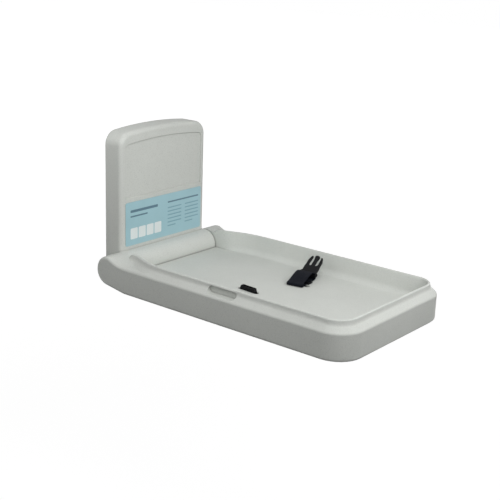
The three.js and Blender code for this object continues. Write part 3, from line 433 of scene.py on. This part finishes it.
class StrapPlace:
    """Where a strap comes up through the floor, and which way it runs."""

    def __init__(self, x, y, heading, end_heading=None, blend_from=0.0, blend_to=0.0):
        self.start = Vector((x, y, 0.0)) * MILLIMETRE
        self.heading = math.radians(heading)
        self.end_heading = self.heading if end_heading is None else math.radians(end_heading)
        self.blend_from = blend_from
        self.blend_to = blend_to

    def point(self, side):
        """A point of the side view, in millimetres out and up, in the row frame."""
        away = Vector((math.cos(self.heading), math.sin(self.heading), 0.0))
        return self.start + (away * side.x + Vector((0.0, 0.0, side.y))) * MILLIMETRE

    def across(self, part):
        """The direction across the webbing at that part of its length, from 0 to 1."""
        share = 0.0
        if self.blend_to > self.blend_from:
            share = min(max((part - self.blend_from) / (self.blend_to - self.blend_from), 0.0), 1.0)
        heading = self.heading + share * (self.end_heading - self.heading)
        return Vector((-math.sin(heading), math.cos(heading), 0.0))


def webbing_ring(width, thick):
    """Section of the webbing: flat, with rounded selvedges."""
    half = 0.5 * thick
    ring = []
    for side in (1, -1):
        columns = [side * (0.5 * width - half) * k / 4 for k in range(4, -5, -1)]
        ring.extend((across, side * half) for across in columns)
        ring.extend((-side * (0.5 * width - 0.3 * half), side * rise * half) for rise in (0.7, 0.0, -0.7))
    return ring


def webbing(name, place, side_view, sizes, material):
    """A strap of webbing along a side view, with a layout in metres for its weave."""
    run = smooth_run(side_view, 2.0)
    ring = webbing_ring(sizes.strap_width, sizes.strap_thick)
    count = len(ring)
    verts = []
    layout = []
    travelled = 0.0
    whole = run_length(run)
    for k, spot in enumerate(run):
        before = run[max(k - 1, 0)]
        after = run[min(k + 1, len(run) - 1)]
        if k:
            travelled += (spot - before).length
        along = (after - before).normalized()
        across = place.across(travelled / whole)
        away = Vector((math.cos(place.heading), math.sin(place.heading), 0.0))
        rise = (-along.y * away + Vector((0.0, 0.0, along.x))).normalized()
        for offset, lift in ring:
            verts.append(place.point(spot) + across * offset + rise * lift)
            layout.append((offset, travelled * MILLIMETRE))
    faces = []
    for row in range(len(run) - 1):
        for k in range(count):
            here = row * count + k
            beside = row * count + (k + 1) % count
            faces.append((here, here + count, beside + count, beside))
    last = (len(run) - 1) * count
    faces.append(tuple(range(count)))
    faces.append(tuple(reversed(range(last, last + count))))
    obj = make_object(name, verts, faces, TRAY, material)
    weave = obj.data.uv_layers.new(name="weave")
    for loop in obj.data.loops:
        weave.data[loop.index].uv = layout[loop.vertex_index]
    for polygon in obj.data.polygons:
        polygon.use_smooth = True
    return obj, run


def stitch_mesh(start, end, up, thick):
    """One stitch: a short thread that dips into the cloth at both ends."""
    along = end - start
    sideways = along.cross(up).normalized()
    profile = ((0.0, 0.25, -0.5), (0.25, 0.9, 0.25), (0.5, 1.0, 0.45), (0.75, 0.9, 0.25), (1.0, 0.25, -0.5))
    sides = 6
    verts = []
    for share, fat, lift in profile:
        middle = start + along * share + up * (lift * thick)
        for k in range(sides):
            turn = 2 * math.pi * k / sides
            verts.append(middle + 0.5 * thick * fat * (sideways * math.cos(turn) + up * math.sin(turn)))
    faces = [tuple(range(sides)), tuple(reversed(range(len(verts) - sides, len(verts))))]
    for row in range(len(profile) - 1):
        for k in range(sides):
            here = row * sides + k
            beside = row * sides + (k + 1) % sides
            faces.append((here, here + sides, beside + sides, beside))
    return verts, faces


def stitching(name, corners, up, sizes, material):
    """A sewn box with a cross in it, on four corners given in order."""
    pairs = [(0, 1), (1, 2), (2, 3), (3, 0), (0, 2), (1, 3)]
    verts = []
    faces = []
    for first, second in pairs:
        start = corners[first]
        reach = corners[second] - start
        count = max(3, round(reach.length / (1.25 * sizes.stitch_long)))
        for k in range(count):
            begin = start + reach * ((k + 0.1) / count)
            finish = start + reach * ((k + 0.9) / count)
            new_verts, new_faces = stitch_mesh(begin, finish, up, sizes.stitch_thick)
            shift = len(verts)
            verts.extend(new_verts)
            faces.extend(tuple(k + shift for k in face) for face in new_faces)
    obj = make_object(name, verts, faces, TRAY, material)
    for polygon in obj.data.polygons:
        polygon.use_smooth = True
    return obj


def sewn_box(place, near, far, part, sizes):
    """Corners of a sewn box on the webbing between two points of its side view, and the way it faces."""
    half = 0.5 * sizes.strap_width - 0.006
    across = place.across(part)
    low = place.point(Vector(near))
    high = place.point(Vector(far))
    facing = across.cross(high - low).normalized()
    if facing.z < 0.0:
        facing.negate()
    lift = facing * (0.5 * sizes.strap_thick)
    corners = [low - across * half, high - across * half, high + across * half, low + across * half]
    return [corner + lift for corner in corners], facing


LEFT_STRAP = StrapPlace(-72.0, -465.0, -4.0)
LEFT_VIEW = [
    (-67.0, -17.0), (-49.0, -17.0), (-41.0, -18.4), (-31.0, -24.0), (-20.0, -29.4), (-9.0, -31.0), (0.0, -30.9),
    (7.0, -31.4), (9.8, -34.8), (8.4, -39.2), (3.0, -41.4), (-5.0, -40.2), (-12.0, -36.8), (-19.0, -32.8),
    (-26.0, -29.2), (-34.5, -24.9),
]
LEFT_SEAM = ((-32.5, -23.2), (-21.5, -28.8))
RIGHT_STRAP = StrapPlace(72.0, -533.0, 190.0, 183.4, 0.591, 0.667)
RIGHT_VIEW = [
    (-67.0, -17.0), (-45.0, -17.0), (-22.0, -17.0), (-10.0, -16.1), (-5.0, -12.5), (0.0, -8.0), (5.0, -6.5),
    (11.0, -6.8), (20.0, -6.8), (22.8, -5.6), (24.0, -2.8), (22.8, 0.0), (20.0, 1.2), (11.0, 3.5), (0.5, 7.1),
    (-10.8, 11.2), (-21.9, 15.0), (-32.2, 17.9), (-40.8, 19.0), (-46.4, 18.6), (-51.8, 17.2), (-57.0, 15.0),
    (-61.2, 12.4), (-64.0, 9.9), (-66.3, 7.0), (-68.3, 4.4), (-70.6, 1.6), (-71.0, -1.8), (-68.6, -4.9),
    (-63.0, -6.5), (-55.0, -6.3), (-47.0, -5.0), (-41.5, -3.2), (-36.0, -2.9), (-31.8, -4.2), (-29.4, -6.1),
    (-25.0, -6.9), (-15.0, -6.9), (-7.0, -6.3), (-2.0, -5.2), (4.0, -4.2), (10.0, -4.4), (16.0, -4.5),
]
RIGHT_SEAM = ((-14.0, 12.35), (-32.2, 17.9))


class STATION_OT_shell(bpy.types.Operator):
    """Finishes the moulded tray, its underside cover and the wall housing"""

    bl_idname = "station.shell"
    bl_label = "Moulded shell"

    def execute(self, context):
        sizes = context.scene.station_sizes
        tray, *covers = (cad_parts[name] for name in SHELL_NODES)
        give([tray, *covers], moulded_finish(context.scene.station_colours))
        soften([tray], 0.0, sizes)
        soften(covers, sizes.shell_edge, sizes)
        return {"FINISHED"}


class STATION_OT_hardware(bpy.types.Operator):
    """Finishes the hinge hardware, frame, plate, dampers and screws"""

    bl_idname = "station.hardware"
    bl_label = "Hinge hardware"

    def execute(self, context):
        colours = context.scene.station_colours
        sizes = context.scene.station_sizes
        finishes = (
            (STEEL_PREFIXES, metal_finish("plain_steel", colours.steel, 0.34, (0.06, 1.0, 1.0))),
            (FASTENER_PREFIXES, metal_finish("dark_fastener", colours.fastener, 0.4)),
            (DARK_PREFIXES, metal_finish("coated_steel", colours.dark_steel, 0.5)),
            (BEARING_PREFIXES, plastic_finish("bearing_plastic", colours.bearing, 0.42)),
            (RUBBER_PREFIXES, rubber_finish(colours)),
        )
        for prefixes, material in finishes:
            pieces = nodes_named(*prefixes)
            give(pieces, material)
            soften(pieces, sizes.metal_edge, sizes)
        return {"FINISHED"}


class STATION_OT_panel(bpy.types.Operator):
    """Makes the bare pale blue face panel and the plain shapes printed on it"""

    bl_idname = "station.panel"
    bl_label = "Face panel"

    def execute(self, context):
        colours = context.scene.station_colours
        sizes = context.scene.station_sizes
        low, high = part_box("info_panel")
        middle = 0.5 * (low + high)
        thick = high.y - low.y
        place = Vector((middle.x, high.y, middle.z))
        outline = rounded_outline(high.x - low.x, high.z - low.z, sizes.panel_round)
        verts, faces = face_plate(outline, place, thick, 0.25 * thick)
        panel = make_object("face_panel", verts, faces, WALL, printed_finish("panel_film", colours.panel))
        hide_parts("info_panel")
        front = Vector((middle.x, low.y, middle.z))
        prints = (
            ("panel_tiles", self.tiles(), colours.print_light),
            ("panel_lines", self.lines(), colours.print_middle),
            ("panel_bars", self.bars(), colours.print_dark),
        )
        for name, plates, tone in prints:
            self.shapes(name, front, plates, printed_finish(f"{name}_ink", tone), sizes.mark_thick)
        return {"FINISHED"}

    def tiles(self):
        """Plain light tiles: middle across, middle up, width, height and corner, in millimetres."""
        return [(-131.0 + 34.0 * k, -31.0, 30.0, 34.0, 4.0) for k in range(4)]

    def lines(self):
        """Plain lines in two blocks, the last of each shorter."""
        lines = []
        for left, count in ((14.0, 6), (92.0, 6)):
            for k in range(count):
                width = 36.0 if k == count - 1 else 62.0
                lines.append((left + 0.5 * width, 22.0 - 11.5 * k, width, 3.4, 1.4))
        return lines

    def bars(self):
        """Plain heading bars over the blocks."""
        return [(-88.0, 38.0, 116.0, 8.0, 2.0), (-110.0, 22.0, 72.0, 4.5, 1.6), (84.0, 40.0, 140.0, 4.5, 1.6)]

    def shapes(self, name, front, plates, material, thick):
        """One piece of print holding several thin rounded plates."""
        verts = []
        faces = []
        for x, z, width, height, corner in plates:
            outline = rounded_outline(width * MILLIMETRE, height * MILLIMETRE, corner * MILLIMETRE)
            place = front + Vector((x, 0.0, z)) * MILLIMETRE
            new_verts, new_faces = face_plate(outline, place, thick, 0.5 * thick)
            shift = len(verts)
            verts.extend(new_verts)
            faces.extend(tuple(k + shift for k in face) for face in new_faces)
        piece = make_object(name, verts, faces, WALL, material)


class STATION_OT_straps(bpy.types.Operator):
    """Makes the two webbing straps with their sewn boxes"""

    bl_idname = "station.straps"
    bl_label = "Straps"

    def execute(self, context):
        colours = context.scene.station_colours
        sizes = context.scene.station_sizes
        cloth = woven_finish(colours, sizes)
        thread = plastic_finish("thread", colours.thread, 0.6, 0.2)
        straps = (
            ("left", LEFT_STRAP, LEFT_VIEW, LEFT_SEAM, 0.0, "folded"),
            ("right", RIGHT_STRAP, RIGHT_VIEW, RIGHT_SEAM, 0.5, "folded"),
        )
        for side, place, view, (near, far), part, held in straps:
            piece, run = webbing(f"webbing_{side}", place, [Vector(spot) for spot in view], sizes, cloth)
            corners, facing = sewn_box(place, near, far, part, sizes)
            seam = stitching(f"seam_{side}", corners, facing, sizes, thread)
            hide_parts(f"strap_{side}")
        return {"FINISHED"}


class STATION_OT_buckle(bpy.types.Operator):
    """Finishes the buckle's socket and tongue and the strap slider"""

    bl_idname = "station.buckle"
    bl_label = "Buckle"

    def execute(self, context):
        scene = context.scene
        pieces = [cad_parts[name] for name in BUCKLE_NODES]
        give(pieces, plastic_finish("black_plastic", scene.station_colours.buckle, 0.42, 0.13))
        soften(pieces, scene.station_sizes.shell_edge, scene.station_sizes, 3)
        return {"FINISHED"}


class STATION_OT_stage(bpy.types.Operator):
    """Sets the floor, the light and the camera"""

    bl_idname = "station.stage"
    bl_label = "Stage"

    def execute(self, context):
        scene = context.scene
        self.floor(scene)
        self.world(scene)
        self.lamps(scene)
        self.camera(scene)
        scene.view_settings.view_transform = "Standard"
        return {"FINISHED"}

    def floor(self, scene):
        """A plain pale floor that shows white to the camera and keeps the shadow."""
        sizes = scene.station_sizes
        half = 0.5 * sizes.floor_size
        mesh = bpy.data.meshes.new("floor")
        level = sizes.floor_level
        corners = [(-half, -half, level), (half, -half, level), (half, half, level), (-half, half, level)]
        mesh.from_pydata(corners, [], [(0, 1, 2, 3)])
        finish = Finish("floor", 0.9)
        cloud = finish.noise(3.0, 2.0)
        tone = scene.station_colours.floor
        finish.set("Base Color", finish.mix(finish.spread(cloud, 0.3, 0.7), shade(tone, 0.99), shade(tone, 1.01)))
        away = finish.nodes.new("ShaderNodeVectorMath")
        away.operation = "LENGTH"
        finish.links.new(finish.place, away.inputs[0])
        white = finish.spread(away.outputs["Value"], 1.2, 4.5, 0.91, 1.0)
        path = finish.nodes.new("ShaderNodeLightPath")
        seen = finish.math("MAXIMUM", path.outputs["Is Camera Ray"], path.outputs["Is Glossy Ray"])
        seen = finish.math("MAXIMUM", seen, path.outputs["Is Transmission Ray"])
        finish.set("Emission Strength", finish.math("MULTIPLY", seen, white))
        finish.shader.inputs["Emission Color"].default_value = (1.0, 1.0, 1.0, 1.0)
        mesh.materials.append(finish.material)
        floor = bpy.data.objects.new("floor", mesh)
        scene.collection.objects.link(floor)

    def world(self, scene):
        """Even light from all round, shown as white."""
        world = bpy.data.worlds.new("studio")
        world.use_nodes = True
        tree = world.node_tree
        background = tree.nodes["Background"]
        path = tree.nodes.new("ShaderNodeLightPath")
        seen = path.outputs["Is Camera Ray"]
        for ray in ("Is Glossy Ray", "Is Transmission Ray"):
            either = tree.nodes.new("ShaderNodeMath")
            either.operation = "MAXIMUM"
            tree.links.new(seen, either.inputs[0])
            tree.links.new(path.outputs[ray], either.inputs[1])
            seen = either.outputs["Value"]
        level = tree.nodes.new("ShaderNodeMapRange")
        level.inputs["To Min"].default_value = 0.07
        level.inputs["To Max"].default_value = 1.0
        tree.links.new(seen, level.inputs["Value"])
        tree.links.new(level.outputs["Result"], background.inputs["Strength"])
        background.inputs["Color"].default_value = (1.0, 1.0, 1.0, 1.0)
        scene.world = world

    def lamps(self, scene):
        """Soft boxes overhead, in front, beside the camera, over the tray and its front, beside the housing and on the right."""
        boxes = (
            ("overhead", (0.0, -0.55, 2.8), (0.0, -0.45, 0.0), 3.0, 1.0),
            ("front", (0.2, -3.4, 1.7), (0.0, -0.45, 0.0), 2.2, 16.0),
            ("beside_camera", (-2.4, -2.6, 1.2), (0.0, -0.45, 0.0), 2.0, 30.0),
            ("over_tray", (-0.55, -0.75, 1.1), (0.0, -0.1, 0.2), 0.7, 5.8),
            ("over_front", (0.15, -1.3, 0.75), (0.0, -0.9, 0.0), 0.7, 4.1),
            ("beside_housing", (-0.75, 0.2, 0.75), (0.0, -0.1, 0.2), 0.5, 2.1),
            ("right", (2.6, -0.9, 1.3), (0.0, -0.45, 0.0), 2.0, 9.5),
        )
        for name, place, target, size, power in boxes:
            lamp = bpy.data.lights.new(name, "AREA")
            lamp.size = size
            lamp.energy = power
            obj = bpy.data.objects.new(name, lamp)
            obj.location = place
            aim = Vector(target) - Vector(place)
            obj.rotation_euler = aim.to_track_quat("-Z", "Y").to_euler()
            scene.collection.objects.link(obj)

    def camera(self, scene):
        """The photograph's point of view."""
        camera = bpy.data.cameras.new("photo_view")
        camera.lens = 73.75
        camera.sensor_width = 36.0
        camera.dof.use_dof = False
        obj = bpy.data.objects.new("photo_view", camera)
        right = Vector((0.6304, -0.77553, 0.03373)).normalized()
        back = Vector((-0.74877, -0.59604, 0.28997)).normalized()
        up = back.cross(right).normalized()
        turn = Matrix((right, up, back)).transposed().to_4x4()
        obj.matrix_world = Matrix.Translation((-2.2213, -2.1765, 0.9445)) @ turn
        scene.collection.objects.link(obj)
        scene.camera = obj


class STATION_PT_tools(bpy.types.Panel):
    """Sidebar panel with the station's steps"""

    bl_idname = "STATION_PT_tools"
    bl_label = "Changing station"
    bl_space_type = "VIEW_3D"
    bl_region_type = "UI"
    bl_category = "Station"

    def draw(self, context):
        layout = self.layout
        for operator in OPERATORS:
            layout.operator(operator.bl_idname)
        for group in (context.scene.station_sizes, context.scene.station_colours):
            column = layout.column()
            for name in group.__annotations__:
                column.prop(group, name)


OPERATORS = (
    STATION_OT_shell,
    STATION_OT_hardware,
    STATION_OT_panel,
    STATION_OT_straps,
    STATION_OT_buckle,
    STATION_OT_stage,
)
CLASSES = (StationSizes, StationColours, *OPERATORS, STATION_PT_tools)


def register():
    for entry in CLASSES:
        bpy.utils.register_class(entry)
    bpy.types.Scene.station_sizes = PointerProperty(type=StationSizes)
    bpy.types.Scene.station_colours = PointerProperty(type=StationColours)


def unregister():
    del bpy.types.Scene.station_colours
    del bpy.types.Scene.station_sizes
    for entry in reversed(CLASSES):
        bpy.utils.unregister_class(entry)


def main():
    register()
    bpy.ops.station.shell()
    bpy.ops.station.hardware()
    bpy.ops.station.panel()
    bpy.ops.station.straps()
    bpy.ops.station.buckle()
    bpy.ops.station.stage()


if __name__ == "__main__":
    main()
